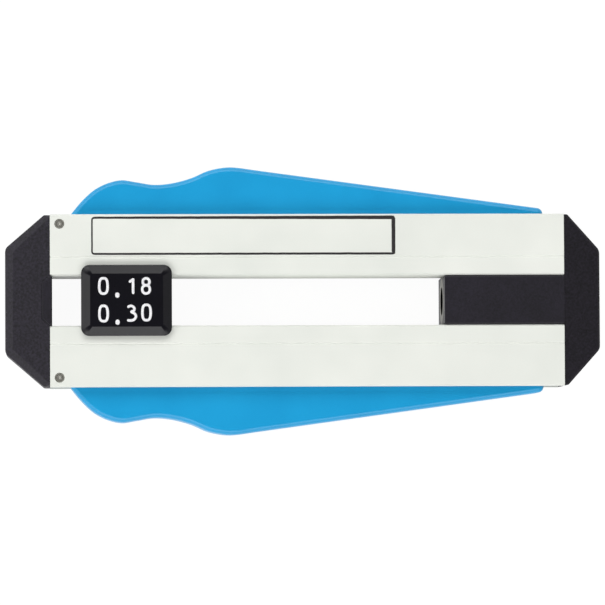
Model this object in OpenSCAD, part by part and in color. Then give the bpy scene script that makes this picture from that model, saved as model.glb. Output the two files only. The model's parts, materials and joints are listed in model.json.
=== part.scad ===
// Fibre stripper: a flat pocket tool that lies on its back.
// X runs along the fibre, from the entry nose (-X) to the rear cap (+X). Y runs across the tool.
// Z is its depth: the back lies at Z = 0 and the slider's plate is on top.
// Pieces of the lower half are mirror images of the upper half across the fibre axis.

/* [Body] */
// Length over both end caps
body_length = 100; // [90:1:115]
// Width over the two rails
body_width = 29; // [28:0.1:32]
// Depth of the rails and caps
body_depth = 12.5; // [12:0.1:14]
// Width of the window between the rails
window_width = 8.4; // [8:0.1:9]
// Length of the front cap
front_cap_length = 7.5; // [7.2:0.1:8.5]
// Length of the rear cap
rear_cap_length = 6; // [5:0.1:8]
// Break along the sharp edges of mouldings
edge_break = 0.25; // [0.1:0.05:0.4]

/* [Rails] */
// Thickness of the wall between window and handle channel
inner_wall = 2.2; // [2:0.1:2.4]
// Thickness of the walls in front of and behind the handles
face_wall = 1.6; // [1.4:0.1:1.8]
// Distance of the long face groove from the window
groove_offset = 3.1; // [2.5:0.1:4]
// Width of the face groove
groove_width = 0.4; // [0.2:0.05:0.6]
// Depth of the face groove
groove_depth = 0.15; // [0.1:0.05:0.3]
// Depth of the rebate for the slider's keeper
rebate_depth = 1; // [0.9:0.05:1.1]
// Width of the rebate beside the window
rebate_width = 1.6; // [1.3:0.1:1.7]

/* [Caps] */
// How far the front cap narrows on each side towards its nose
front_taper = 5.6; // [5:0.1:6.4]
// Length of the front cap's straight sides
front_side_length = 1; // [0.6:0.1:1.2]
// Width of the bevel round the front cap's face
front_bevel = 1.3; // [0.8:0.1:1.6]
// Depth of the bevel round the front cap's face
front_bevel_depth = 0.9; // [0.5:0.1:1.3]
// Corner radius of the front cap's nose
front_corner_r = 1.3; // [0.8:0.1:1.6]
// How far the rear cap narrows on each side towards its end
rear_taper = 6.05; // [5.5:0.05:6.8]
// Length of the rear cap's straight sides
rear_side_length = 0.6; // [0.4:0.1:1]
// Bevel round the rear cap's face
rear_bevel = 0.35; // [0.2:0.05:0.6]
// Corner radius of the rear cap's end
rear_corner_r = 1.5; // [0.8:0.1:2]
// Step in from the rails' sides to the caps' sides
cap_step = 0.1; // [0.05:0.05:0.2]
// Wall of the front cap round the blade chamber
cap_wall = 1.4; // [1.2:0.1:1.5]
// Length of the front cap's tongues in the rails
front_tongue_length = 3; // [2.6:0.1:3.1]
// Distance from the rails' sides to the face of those tongues that stops the handles
front_tongue_reach = 3; // [2.9:0.05:3.3]
// Length of the rear cap's tongues in the rails
rear_tongue_length = 2.6; // [2.2:0.1:2.8]

/* [Handles] */
// Distance of the handle pivots from the rear cap
pivot_setback = 7; // [6.6:0.1:10]
// Outer radius of the eye round the pivot
eye_r = 2.6; // [2.2:0.1:2.8]
// Thickness of the arm that runs forward inside the rail
arm_thickness = 2; // [1.6:0.1:2.1]
// Radius along the handle's outer edges
grip_edge_r = 1; // [0.6:0.1:1.2]
// How far the tail stands out of the rail at its end
tail_proud = 1; // [0.8:0.1:1.6]
// Radius of the pivot pins
pivot_pin_r = 1; // [0.8:0.05:1.1]

/* [Blades] */
// Thickness of a blade
blade_thickness = 0.4; // [0.3:0.05:0.5]
// Width of a blade across the fibre
blade_width = 6; // [5:0.1:7]
// Height of a blade from its edge to its back
blade_height = 6; // [5.7:0.1:6.2]
// Diameter of the hole that the closed notches leave
strip_diameter = 0.18; // [0.12:0.01:0.3]
// Depth of the notch that leads the fibre in
notch_depth = 0.7; // [0.5:0.05:0.9]
// Thickness of the handle's nose behind a blade
head_thickness = 2; // [1.8:0.1:2.1]
// Thickness of a blade clamp
clamp_thickness = 0.6; // [0.5:0.05:0.7]
// Shank radius of the blade screws
blade_screw_r = 0.5; // [0.4:0.05:0.55]
// Spacing of the two screws in a clamp
blade_screw_spacing = 3.4; // [3:0.1:3.6]

/* [Fibre guides] */
// Radius of the fibre hole in both guides
guide_hole_r = 0.3; // [0.15:0.05:0.4]
// Radius of the funnel's mouth
funnel_r = 1.5; // [1:0.1:1.7]
// Outer radius of the entry bush
entry_bush_r = 2.1; // [2:0.1:2.6]
// Half width of the exit guide's flat side
insert_flat_half = 3; // [2.6:0.1:3.4]
// Reach of the exit guide into the front cap
insert_reach = 1.4; // [1.2:0.05:1.45]
// How far the exit guide stands into the window
insert_proud_x = 0.35; // [0.2:0.05:0.5]
// How far the exit guide stands above the cap
insert_proud_z = 0.2; // [0.1:0.05:0.3]

/* [Slider] */
// Length of the slider's plate
slider_length = 15.2; // [13:0.1:17]
// Width of the slider's plate
slider_width = 11.9; // [11.4:0.1:13]
// Thickness of the slider's plate
slider_thickness = 1.6; // [1.4:0.1:2]
// Width of the bevel round the plate
slider_bevel = 1.5; // [1:0.1:1.6]
// Depth of the bevel round the plate
slider_bevel_depth = 0.9; // [0.6:0.1:1.1]
// Corner radius of the plate
slider_corner_r = 1.4; // [1:0.1:1.5]
// Distance from the front cap to the slider at rest
slider_rest_gap = 5.2; // [4.9:0.1:8]
// Thickness of the keeper plate
keeper_thickness = 0.85; // [0.7:0.05:0.85]
// Shank radius of the slider's screws
slider_screw_r = 0.8; // [0.6:0.05:0.9]

/* [Rear block] */
// Length of the block in the window
tail_length = 20.2; // [16:0.1:24]
// Radius of the bore
bore_r = 2.45; // [2:0.05:2.5]
// Wall of the sleeve that lines the bore
sleeve_wall = 0.7; // [0.5:0.05:0.75]
// Radius of the sleeve's dished flange
flange_r = 3.9; // [3.6:0.05:3.9]
// Depth of the dish in the flange
dish_depth = 0.8; // [0.5:0.1:1.2]
// Shank radius of the rear screws
rear_screw_r = 0.7; // [0.5:0.05:0.75]
// Length of the rear screws
rear_screw_length = 14; // [11:0.5:18]

/* [Pins and springs] */
// Radius of the cap dowels
dowel_r = 0.8; // [0.6:0.05:0.85]
// Wire diameter of the return springs
spring_wire = 0.55; // [0.45:0.05:0.6]
// Outer radius of the return springs
spring_r = 2.3; // [2:0.1:2.5]
// Length of a return spring at rest
spring_length = 8.4; // [8:0.1:8.8]
// Number of turns in a return spring
spring_turns = 6; // [4:1:7]
// Distance of the return springs from the front cap
spring_setback = 30; // [26:0.5:34]
// Depth of the seat in the rail under a spring
spring_seat = 0.6; // [0.4:0.1:0.8]
// Thickness of the slider's leaf springs
leaf_thickness = 0.2; // [0.15:0.05:0.25]

/* [Clearances] */
// Between a handle and the rail's faces
handle_gap = 0.15; // [0.1:0.05:0.25]
// Between a squeezed handle and the wall it closes on
squeeze_gap = 0.3; // [0.2:0.05:0.4]
// Between a handle arm at rest and its stop
stop_gap = 0.15; // [0.1:0.05:0.2]
// Round a turning or sliding piece
running_gap = 0.05; // [0.03:0.01:0.08]
// Round a fixed pin, screw or insert
seat_gap = 0.02; // [0.01:0.005:0.03]
// Between each blade's edge and the fibre axis when closed
blade_gap = 0.04; // [0.03:0.01:0.06]

/* [Hidden] */
$fn = 48;
eps = 0.01;
far = 40; // reach of a cut or blank that another outline limits

rail_white = "#e8ebe4";
grip_blue = "#33a5d9";
cap_black = "#343338";
steel_grey = "#8f908a";
sleeve_grey = "#8a8984";
brass_gold = "#b59b5c";

// Planes and lines of the frame
front_x = -body_length / 2;
rear_x = body_length / 2;
front_seam = front_x + front_cap_length;
rear_seam = rear_x - rear_cap_length;
rail_in = window_width / 2;
rail_out = body_width / 2;
channel_in = rail_in + inner_wall;
channel_depth = body_depth - 2 * face_wall;
axis_z = body_depth / 2;

// Handles: each turns on its pivot until its arm, squeezed in, swings out to the tongue that stops it
pivot = [rear_seam - pivot_setback, channel_in + squeeze_gap + eye_r];
handle_depth = channel_depth - 2 * handle_gap;
arm_in = pivot.y - eye_r;
arm_out = arm_in + arm_thickness;
tongue_in = rail_out - front_tongue_reach;
squeeze_angle = asin((tongue_in - stop_gap - arm_out) / (pivot.x - front_seam));
tail_gap = 0.75; // between the handle's tail and the rear tongue
tail_end = rear_seam - rear_tongue_length - tail_gap;
step_gap = 0.5; // between the front tongue and the step of the handle

// Nose of the handle, in the squeezed pose: its planes along X, and the spans of nose and clamp
// across Y
head_back = front_seam - insert_reach - squeeze_gap;
head_front = head_back - head_thickness;
blade_front = head_front - blade_thickness;
clamp_front = blade_front - clamp_thickness;
head_in = 1.2;
head_out = arm_out - 1.9;
clamp_in = head_in + 0.5;
clamp_out = head_out - 1.1;
blade_screw_y = (clamp_in + clamp_out) / 2;
blade_screw_head = 0.5;
blade_screw_length = clamp_thickness + blade_thickness + 1.4;

// Pins
dowel_front = [front_seam + 1.6, rail_out - 1.6];
dowel_rear = [rear_seam - rear_tongue_length / 2, (channel_in + rail_out) / 2];
tongue_inset = 0.4; // from the rails' sides to the tongues' outer faces

// Caps: half widths at their sides and at their flat ends
cap_half = rail_out - cap_step;
front_nose_half = cap_half - front_taper;
rear_nose_half = cap_half - rear_taper;
pin_recess = 0.2;
blind_skin = 0.55; // what a blind pin hole leaves of the front wall

// Return springs stand on the rail's inner wall and push in a pocket of the handle
spring_x = front_seam + spring_setback;
spring_foot = channel_in - spring_seat;
spring_top = spring_foot + spring_length;
spring_pocket_r = spring_r + 0.5;
spring_rings = 14; // rings in one turn of the wire
wire_sides = 6;
dead_turns = 0.8; // closed turns at each end

// Slider
slider_x0 = front_seam + slider_rest_gap;
slider_x1 = slider_x0 + slider_length;
neck_inset = 0.8;
neck_x0 = slider_x0 + neck_inset;
neck_x1 = slider_x1 - neck_inset;
neck_half = rail_in - running_gap;
keeper_half = rail_in + rebate_width - 0.2;
keeper_z0 = rebate_depth - running_gap - keeper_thickness;
slider_screw_inset = 3.2;
slider_screw_head = slider_screw_r * 1.9;
slider_screw_depth = 7;
leaf_length = 8.6;
leaf_height = 3;
leaf_bow = 0.65;
leaf_pocket = leaf_bow + leaf_thickness;

// Rear block
tail_x0 = rear_seam - tail_length;
tail_half = rail_in - running_gap;
sleeve_r = bore_r + sleeve_wall;
flange_thickness = dish_depth + 0.4;
rear_screw_z = (axis_z - sleeve_r) / 2;
rear_screw_head = rear_screw_r * 2;

// Handle outline, as [distance behind the front cap, distance out from the rail]
grip_knots = [
    [3.4, 0], [5.4, 2.4], [7.4, 4.2], [9.5, 5.3], [12, 5.9], [14.6, 5.55], [17.6, 5.1],
    [20.7, 5.4], [23.7, 6.2], [26.8, 7.5], [30.4, 8.05], [35, 7.5]
];
knot_steps = 6;

// ---- small helpers ----

function unit(angle) = [cos(angle), sin(angle)];

// Point where two lines meet, each given by its normal's angle and its distance from the origin
function meet(a1, d1, a2, d2) =
    let (turn = sin(a2 - a1))
    [(d1 * sin(a2) - d2 * sin(a1)) / turn, (d2 * cos(a1) - d1 * cos(a2)) / turn];

// Catmull-Rom curve through points p, without the last one
function through(p, steps) = [
    for (i = [0 : len(p) - 2], s = [0 : steps - 1])
        let (
            t = s / steps,
            a = p[max(i - 1, 0)], b = p[i], c = p[i + 1], d = p[min(i + 2, len(p) - 1)]
        )
        0.5 * (2 * b + (c - a) * t + (2 * a - 5 * b + 4 * c - d) * pow(t, 2)
            + (3 * b - a - 3 * c + d) * pow(t, 3))
];

// A point of the squeezed handle, where it lies at rest
function opened(p) =
    let (v = p - pivot)
    pivot + [
        v.x * cos(squeeze_angle) + v.y * sin(squeeze_angle),
        v.y * cos(squeeze_angle) - v.x * sin(squeeze_angle)
    ];

module mirrored() {
    mirror([0, 1, 0]) children();
}

module both_sides() {
    children();
    mirrored() children();
}

// Turns what is drawn in the squeezed pose into the rest pose
module open_pose() {
    translate([pivot.x, pivot.y, 0]) rotate([0, 0, -squeeze_angle])
        translate([-pivot.x, -pivot.y, 0]) children();
}

// Extrudes a (Y, Z) outline along X from x0 to x1
module along_x(x0, x1) {
    translate([x0, 0, 0]) rotate([90, 0, 90]) linear_extrude(x1 - x0) children();
}

// Turned piece along X, from an outline of [radius, distance along X]
module turned_x(points) {
    rotate([0, 90, 0]) rotate_extrude() polygon(points);
}

module rod_x(x0, x1, r) {
    translate([x0, 0, 0]) rotate([0, 90, 0]) cylinder(h = x1 - x0, r = r);
}

// Pin along Z with a chamfer at both ends
module pin_z(z0, z1, r, chamfer) {
    rotate_extrude() polygon([
        [0, z0], [r - chamfer, z0], [r, z0 + chamfer], [r, z1 - chamfer], [r - chamfer, z1], [0, z1]
    ]);
}

// Rectangle from one corner to the other with its corners cut off
module clipped_rect(low, high, cut) {
    polygon([
        [low.x + cut, low.y], [high.x - cut, low.y], [high.x, low.y + cut], [high.x, high.y - cut],
        [high.x - cut, high.y], [low.x + cut, high.y], [low.x, high.y - cut], [low.x, low.y + cut]
    ]);
}

// ---- frame ----

// Section of a rail: a channel that opens outwards, a rebate at the back and a groove in the face
module rail_section() {
    rebate_out = rail_in + rebate_width;
    groove_y = rail_in + groove_offset;
    top = body_depth;
    polygon([
        [rail_in, rebate_depth], [rebate_out, rebate_depth], [rebate_out, 0],
        [rail_out - edge_break, 0], [rail_out, edge_break],
        [rail_out, face_wall], [channel_in, face_wall],
        [channel_in, top - face_wall], [rail_out, top - face_wall],
        [rail_out, top - edge_break], [rail_out - edge_break, top],
        [groove_y + groove_width / 2, top], [groove_y, top - groove_depth],
        [groove_y - groove_width / 2, top],
        [rail_in + edge_break, top], [rail_in, top - edge_break]
    ]);
}

// Hole from the back that stops short of the front face
module blind_hole(place, r) {
    translate([place.x, place.y, -eps]) cylinder(h = body_depth - blind_skin + eps, r = r);
}

module through_hole(place, r) {
    translate([place.x, place.y, -eps]) cylinder(h = body_depth + 2 * eps, r = r);
}

module rail() {
    difference() {
        along_x(front_seam, rear_seam) rail_section();
        through_hole(dowel_front, dowel_r + seat_gap);
        blind_hole(dowel_rear, dowel_r + seat_gap);
        blind_hole(pivot, pivot_pin_r + seat_gap);
        translate([spring_x, channel_in + eps, axis_z]) rotate([90, 0, 0])
            cylinder(h = spring_seat + eps, r = spring_r + 0.2);
    }
}

module rail_upper() {
    color(rail_white) rail();
}

module rail_lower() {
    color(rail_white) mirrored() rail();
}

// Corner of a cap's outline, moved in by an inset. The cap's nose points to +X here:
// corner 0 lies between nose and slope, corner 1 between slope and side.
function cap_corner(i, length, nose_half, side_length, half, inset, side_inset) =
    let (
        slope = atan2(length - side_length, half - nose_half),
        reach = length * cos(slope) + nose_half * sin(slope)
    )
    i == 0
        ? meet(0, length - inset, slope, reach - inset)
        : meet(slope, reach - inset, 90, half - side_inset);

// Solid cap with rounded corners and a bevel round both faces; its seam lies at X = 0
module cap_blank(length, nose_half, side_length, half, corner_r, bevel, bevel_depth) {
    side_bevel = bevel / 3;
    small_r = corner_r / 3;
    intersection() {
        hull() both_sides() for (layer = [[0, 0, bevel_depth], [bevel, side_bevel, 0]]) {
            nose = cap_corner(0, length, nose_half, side_length, half,
                layer[0] + corner_r, layer[1] + corner_r);
            side = cap_corner(1, length, nose_half, side_length, half,
                layer[0] + small_r, layer[1] + small_r);
            translate([0, 0, layer[2]]) linear_extrude(body_depth - 2 * layer[2]) {
                translate(nose) circle(r = corner_r, $fn = 32);
                translate(side) circle(r = small_r, $fn = 32);
                translate([-1, 0]) square([1, half - layer[1]]);
            }
        }
        translate([0, -far, -eps]) cube([far, 2 * far, body_depth + 2 * eps]);
    }
}

// Plan of the blade chamber: the cap's outline less its wall, as far out as the tongues
module chamber_plan() {
    nose = cap_corner(0, front_cap_length, front_nose_half, front_side_length,
        cap_half, cap_wall, cap_wall);
    side = cap_corner(1, front_cap_length, front_nose_half, front_side_length,
        cap_half, cap_wall, cap_half - tongue_in);
    both_sides() polygon([
        [front_seam + eps, -eps], [front_seam - nose.x, -eps], [front_seam - nose.x, nose.y],
        [front_seam - side.x, tongue_in], [front_seam + eps, tongue_in]
    ]);
}

// Plan of the exit guide, which is an octagon's half; grow widens it for its seat
module insert_plan(grow) {
    outer = rail_in - running_gap;
    x0 = front_seam - insert_reach - grow;
    x1 = front_seam + insert_proud_x + grow;
    corner = outer - insert_flat_half;
    polygon([
        [x0, -insert_flat_half], [x0 + corner, -outer - grow], [x1, -outer - grow],
        [x1, outer + grow], [x0 + corner, outer + grow], [x0, insert_flat_half]
    ]);
}

module front_tongue() {
    translate([front_seam - eps, tongue_in, face_wall + running_gap]) cube([
        front_tongue_length + eps, front_tongue_reach - tongue_inset,
        channel_depth - 2 * running_gap
    ]);
}

module front_cap() {
    color(cap_black) difference() {
        union() {
            translate([front_seam, 0, 0]) mirror([1, 0, 0])
                cap_blank(front_cap_length, front_nose_half, front_side_length,
                    cap_half, front_corner_r, front_bevel, front_bevel_depth);
            both_sides() front_tongue();
        }
        translate([0, 0, face_wall]) linear_extrude(channel_depth) chamber_plan();
        translate([0, 0, -eps]) linear_extrude(body_depth + 2 * eps) insert_plan(seat_gap);
        translate([0, 0, axis_z]) rod_x(front_x - eps, front_x + cap_wall + eps, entry_bush_r + seat_gap);
        both_sides() through_hole(dowel_front, dowel_r + seat_gap);
    }
}

// Exit guide: it stands through the cap's full depth, and its wings hook behind the rails' ends
module guide_insert() {
    wing_half = rail_in + 1.4;
    wing_length = 0.9;
    rim = 0.15;
    color(cap_black) difference() {
        union() {
            linear_extrude(body_depth + insert_proud_z - rim) insert_plan(0);
            linear_extrude(body_depth + insert_proud_z) insert_plan(-rim);
            translate([front_seam - wing_length, -wing_half, face_wall + handle_gap])
                cube([wing_length - running_gap, 2 * wing_half, handle_depth]);
        }
        translate([0, 0, axis_z])
            rod_x(front_seam - insert_reach - eps, front_seam + insert_proud_x + eps, guide_hole_r);
        translate([front_seam - insert_reach, 0, axis_z]) turned_x([
            [0, -eps], [funnel_r, -eps], [guide_hole_r, insert_reach / 2], [0, insert_reach / 2]
        ]);
    }
}

// Entry bush: a funnel down to the fibre hole
module entry_bush() {
    bush_length = cap_wall;
    land = bush_length / 3;
    recess = 0.05;
    color(brass_gold) translate([front_x + recess, 0, axis_z]) turned_x([
        [funnel_r, 0], [entry_bush_r, 0], [entry_bush_r, bush_length], [guide_hole_r, bush_length],
        [guide_hole_r, bush_length - land]
    ]);
}

module rear_tongue() {
    translate([rear_seam - rear_tongue_length, channel_in + running_gap, face_wall + running_gap])
        cube([
            rear_tongue_length + eps, rail_out - tongue_inset - channel_in - running_gap,
            channel_depth - 2 * running_gap
        ]);
}

// Places one screw above and one below the bore
module at_rear_screws() {
    for (z = [rear_screw_z, body_depth - rear_screw_z])
        translate([rear_x, 0, z]) children();
}

// Countersunk screw that points to -X, its head flush at X = 0; grow widens it for its hole
module rear_screw_form(grow) {
    turned_x([
        [0, -rear_screw_length - grow], [rear_screw_r + grow, -rear_screw_length - grow],
        [rear_screw_r + grow, rear_screw_r - rear_screw_head],
        [rear_screw_head + grow, 0], [rear_screw_head + grow, grow], [0, grow]
    ]);
}

module rear_cap() {
    color(cap_black) difference() {
        union() {
            translate([rear_seam, 0, 0])
                cap_blank(rear_cap_length, rear_nose_half, rear_side_length,
                    cap_half, rear_corner_r, rear_bevel, rear_bevel);
            both_sides() rear_tongue();
        }
        translate([0, 0, axis_z]) rod_x(rear_seam - eps, rear_x + eps, bore_r);
        at_rear_screws() rear_screw_form(seat_gap);
        both_sides() blind_hole(dowel_rear, dowel_r + seat_gap);
    }
}

module tail_block() {
    color(cap_black) difference() {
        intersection() {
            along_x(tail_x0, rear_seam)
                clipped_rect([-tail_half, 0], [tail_half, body_depth], edge_break);
            translate([0, 0, -eps]) linear_extrude(body_depth + 2 * eps) polygon([
                [tail_x0, edge_break - tail_half], [tail_x0 + edge_break, -tail_half],
                [rear_seam, -tail_half], [rear_seam, tail_half],
                [tail_x0 + edge_break, tail_half], [tail_x0, tail_half - edge_break]
            ]);
        }
        translate([0, 0, axis_z]) rod_x(tail_x0 - eps, rear_seam + eps, sleeve_r + seat_gap);
        translate([0, 0, axis_z])
            rod_x(tail_x0 - eps, tail_x0 + running_gap + flange_thickness + seat_gap,
                flange_r + seat_gap);
        at_rear_screws() rear_screw_form(seat_gap);
    }
}

// Sleeve of the bore, with a dished flange at the window end
module bore_sleeve() {
    lip = 0.15;
    color(sleeve_grey) translate([tail_x0 + running_gap, 0, axis_z]) turned_x([
        [bore_r, dish_depth], [flange_r - lip, 0], [flange_r, 0], [flange_r, flange_thickness],
        [sleeve_r, flange_thickness], [sleeve_r, tail_length - running_gap],
        [bore_r, tail_length - running_gap]
    ]);
}

// Dowel with a turned ring and a dimple in its end
module front_dowel() {
    z0 = 0.1;
    z1 = body_depth - 0.05;
    rotate_extrude() polygon([
        [0, z0], [dowel_r - 0.15, z0], [dowel_r, z0 + 0.15],
        [dowel_r, z1 - 0.1], [dowel_r - 0.1, z1], [dowel_r * 0.72, z1],
        [dowel_r * 0.66, z1 - 0.08], [dowel_r * 0.6, z1], [dowel_r * 0.25, z1], [0, z1 - 0.12]
    ]);
}

module front_dowels() {
    color(steel_grey) both_sides()
        translate([dowel_front.x, dowel_front.y, 0]) front_dowel();
}

module rear_dowels() {
    color(steel_grey) both_sides()
        translate([dowel_rear.x, dowel_rear.y, 0])
            pin_z(pin_recess, body_depth - blind_skin - seat_gap, dowel_r, 0.15);
}

module rear_screws() {
    slot_width = 0.35;
    slot_depth = 0.3;
    color(steel_grey) at_rear_screws() difference() {
        translate([-seat_gap, 0, 0]) rear_screw_form(0);
        translate([-slot_depth - seat_gap, -far / 2, -slot_width / 2]) cube([far, far, slot_width]);
    }
}

module pivot_pin() {
    translate([pivot.x, pivot.y, 0])
        pin_z(pin_recess, body_depth - blind_skin - seat_gap, pivot_pin_r, 0.2);
}

module pivot_pin_upper() {
    color(steel_grey) pivot_pin();
}

module pivot_pin_lower() {
    color(steel_grey) mirrored() pivot_pin();
}

// Height of the wire's centre after t turns: closed turns at both ends, an even pitch between them
function coil_rise(t, length) =
    let (
        open_turns = spring_turns - 2 * dead_turns,
        pitch = (length - (2 * dead_turns + 1) * spring_wire) / open_turns
    )
    spring_wire / 2 + min(t, dead_turns) * spring_wire
        + max(0, min(t, spring_turns - dead_turns) - dead_turns) * pitch
        + max(0, t - spring_turns + dead_turns) * spring_wire;

// Coil spring that stands on the rail's inner wall and pushes the handle outwards
module return_spring() {
    count = spring_turns * spring_rings;
    coil_r = spring_r - spring_wire / 2;
    length = spring_length - 2 * seat_gap;
    points = [
        for (i = [0 : count], j = [0 : wire_sides - 1])
            let (
                turn = i * 360 / spring_rings,
                around = j * 360 / wire_sides,
                radius = coil_r + cos(around) * spring_wire / 2,
                rise = coil_rise(i / spring_rings, length) + sin(around) * spring_wire / 2
            )
            [radius * cos(turn), radius * sin(turn), rise]
    ];
    sides = [
        for (i = [0 : count - 1], j = [0 : wire_sides - 1])
            let (k = (j + 1) % wire_sides, a = i * wire_sides, b = a + wire_sides)
            [a + j, b + j, b + k, a + k]
    ];
    ends = [
        [for (j = [0 : wire_sides - 1]) j],
        [for (j = [wire_sides - 1 : -1 : 0]) count * wire_sides + j]
    ];
    translate([spring_x, spring_foot + seat_gap, axis_z]) rotate([-90, 0, 0])
        polyhedron(points, concat(sides, ends), convexity = 10);
}

module return_spring_upper() {
    color(steel_grey) return_spring();
}

module return_spring_lower() {
    color(steel_grey) mirrored() return_spring();
}

// ---- handles ----

// Solid that gives the grip its lobed outline and round edges. Inside the rail it runs past the arm.
module grip_envelope() {
    curve = through(grip_knots, knot_steps);
    outer = [for (p = curve) [front_seam + p.x, rail_out + p.y]];
    last = grip_knots[len(grip_knots) - 1];
    ramp = grip_knots[1] - grip_knots[0];
    below = rail_out - tongue_in - stop_gap - grip_edge_r;
    foot = outer[0] - ramp * below / ramp.y;
    minkowski() {
        translate([0, 0, face_wall + handle_gap + grip_edge_r])
            linear_extrude(handle_depth - 2 * grip_edge_r) offset(delta = -grip_edge_r)
                polygon(concat(
                    [[front_x - far, -far], [front_x - far, foot.y], foot], outer,
                    [
                        [front_seam + last.x, rail_out + last.y],
                        [tail_end, rail_out + tail_proud], [tail_end, -far]
                    ]
                ));
        sphere(r = grip_edge_r, $fn = 20);
    }
}

// Everything else of the handle: head, arm and eye. Its far side is left to the envelope.
module handle_blank() {
    step_x = front_seam + front_tongue_length + step_gap;
    eye = [for (a = [-90 : 15 : 0]) pivot + eye_r * unit(a)];
    translate([0, 0, face_wall + handle_gap]) linear_extrude(handle_depth)
        polygon(concat(
            [
                opened([head_front, head_in]), opened([head_back, head_in]),
                opened([head_back, arm_in])
            ],
            eye,
            [
                [tail_end + grip_edge_r, pivot.y + eye_r], [tail_end + grip_edge_r, far],
                [step_x, far], [step_x, opened([step_x, arm_out]).y],
                opened([front_seam - 1, arm_out]), opened([head_front, head_out])
            ]
        ));
}

// Places the two screws of a clamp, in the squeezed pose
module at_blade_screws() {
    for (side = [-1, 1])
        translate([clamp_front, blade_screw_y, axis_z + side * blade_screw_spacing / 2]) children();
}

module blade_screw_hole() {
    rod_x(-1, blade_screw_length + seat_gap, blade_screw_r + seat_gap);
}

module handle() {
    difference() {
        intersection() {
            handle_blank();
            grip_envelope();
        }
        translate([pivot.x, pivot.y, -eps]) cylinder(h = body_depth, r = pivot_pin_r + running_gap);
        translate([spring_x, spring_top, axis_z]) rotate([90, 0, 0])
            cylinder(h = spring_top - arm_in, r = spring_pocket_r);
        open_pose() at_blade_screws() blade_screw_hole();
    }
}

// Blade: a plate with a ground edge and a notch that ends in half of the stripping hole
module blade() {
    notch_half = notch_depth * 0.8;
    root_r = strip_diameter / 2;
    open_pose() difference() {
        along_x(blade_front, head_front) difference() {
            translate([0, axis_z]) clipped_rect(
                [blade_gap, -blade_width / 2], [blade_gap + blade_height, blade_width / 2], 0.3);
            translate([0, axis_z]) polygon([
                [-eps, -notch_half], [notch_depth, 0], [-eps, notch_half]
            ]);
            translate([notch_depth, axis_z]) circle(r = root_r);
        }
        translate([head_front, blade_gap, 0]) rotate([0, 0, 20])
            translate([0, -far / 2, 0]) cube([far, far / 2 + eps, body_depth]);
        at_blade_screws() blade_screw_hole();
    }
}

module blade_clamp() {
    open_pose() difference() {
        along_x(clamp_front, blade_front) translate([0, axis_z]) clipped_rect(
            [clamp_in, -blade_width / 2 + 0.3], [clamp_out, blade_width / 2 - 0.3], 0.5);
        at_blade_screws() blade_screw_hole();
    }
}

module blade_screws() {
    head_r = blade_screw_r * 1.8;
    chamfer = 0.15;
    slot_width = 0.25;
    slot_depth = 0.2;
    open_pose() at_blade_screws() difference() {
        turned_x([
            [0, -blade_screw_head], [head_r - chamfer, -blade_screw_head],
            [head_r, chamfer - blade_screw_head], [head_r, 0], [blade_screw_r, 0],
            [blade_screw_r, blade_screw_length], [0, blade_screw_length]
        ]);
        translate([-blade_screw_head - eps, -far / 2, -slot_width / 2])
            cube([slot_depth + eps, far, slot_width]);
    }
}

module handle_upper() {
    color(grip_blue) handle();
}

module handle_lower() {
    color(grip_blue) mirrored() handle();
}

module blade_upper() {
    color(steel_grey) blade();
}

module blade_lower() {
    color(steel_grey) mirrored() blade();
}

module blade_clamp_upper() {
    color(steel_grey) blade_clamp();
}

module blade_clamp_lower() {
    color(steel_grey) mirrored() blade_clamp();
}

module blade_screws_upper() {
    color(steel_grey) blade_screws();
}

module blade_screws_lower() {
    color(steel_grey) mirrored() blade_screws();
}

// ---- slider ----

// Plate with round corners and a bevel; one hull, so that it stays light
module slider_plate() {
    z0 = body_depth + running_gap;
    layers = [[0, 0], [slider_bevel, slider_bevel_depth]];
    hull() for (x = [0, 1], y = [-1, 1], layer = layers) {
        r = slider_corner_r - layer[0] * 0.6;
        cx = x == 0 ? slider_x0 + layer[0] + r : slider_x1 - layer[0] - r;
        translate([cx, y * (slider_width / 2 - layer[0] - r), z0])
            cylinder(h = slider_thickness - slider_bevel_depth + layer[1], r = r, $fn = 32);
    }
}

// Places what is drawn at the origin at both slider screws, pointing up from the keeper's back
module at_slider_screws() {
    for (x = [neck_x0 + slider_screw_inset, neck_x1 - slider_screw_inset])
        translate([x, 0, keeper_z0]) children();
}

// Countersunk screw that points to +Z; grow widens it for its hole
module slider_screw_form(grow) {
    cone = slider_screw_head - slider_screw_r;
    rotate_extrude() polygon([
        [0, -grow], [slider_screw_head + grow, -grow], [slider_screw_head + grow, 0],
        [slider_screw_r + grow, cone],
        [slider_screw_r + grow, slider_screw_depth + grow], [0, slider_screw_depth + grow]
    ]);
}

module slider_front() {
    pocket_x = (neck_x0 + neck_x1 - leaf_length) / 2 - 0.3;
    color(cap_black) difference() {
        union() {
            slider_plate();
            translate([0, 0, rebate_depth - running_gap])
                linear_extrude(body_depth - rebate_depth + 2 * running_gap + eps)
                    clipped_rect([neck_x0, -neck_half], [neck_x1, neck_half], 0.4);
        }
        at_slider_screws() slider_screw_form(seat_gap);
        both_sides() translate([pocket_x, neck_half - leaf_pocket, axis_z - leaf_height / 2 - 0.2])
            cube([leaf_length + 0.6, far, leaf_height + 0.4]);
    }
}

module slider_back() {
    color(cap_black) difference() {
        translate([0, 0, keeper_z0]) linear_extrude(keeper_thickness)
            clipped_rect([neck_x0, -keeper_half], [neck_x1, keeper_half], 1);
        at_slider_screws() slider_screw_form(seat_gap);
    }
}

module slider_screws() {
    slot_width = 0.35;
    slot_depth = 0.3;
    color(steel_grey) at_slider_screws() difference() {
        slider_screw_form(0);
        translate([-far / 2, -slot_width / 2, -eps]) cube([far, slot_width, slot_depth + eps]);
    }
}

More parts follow.
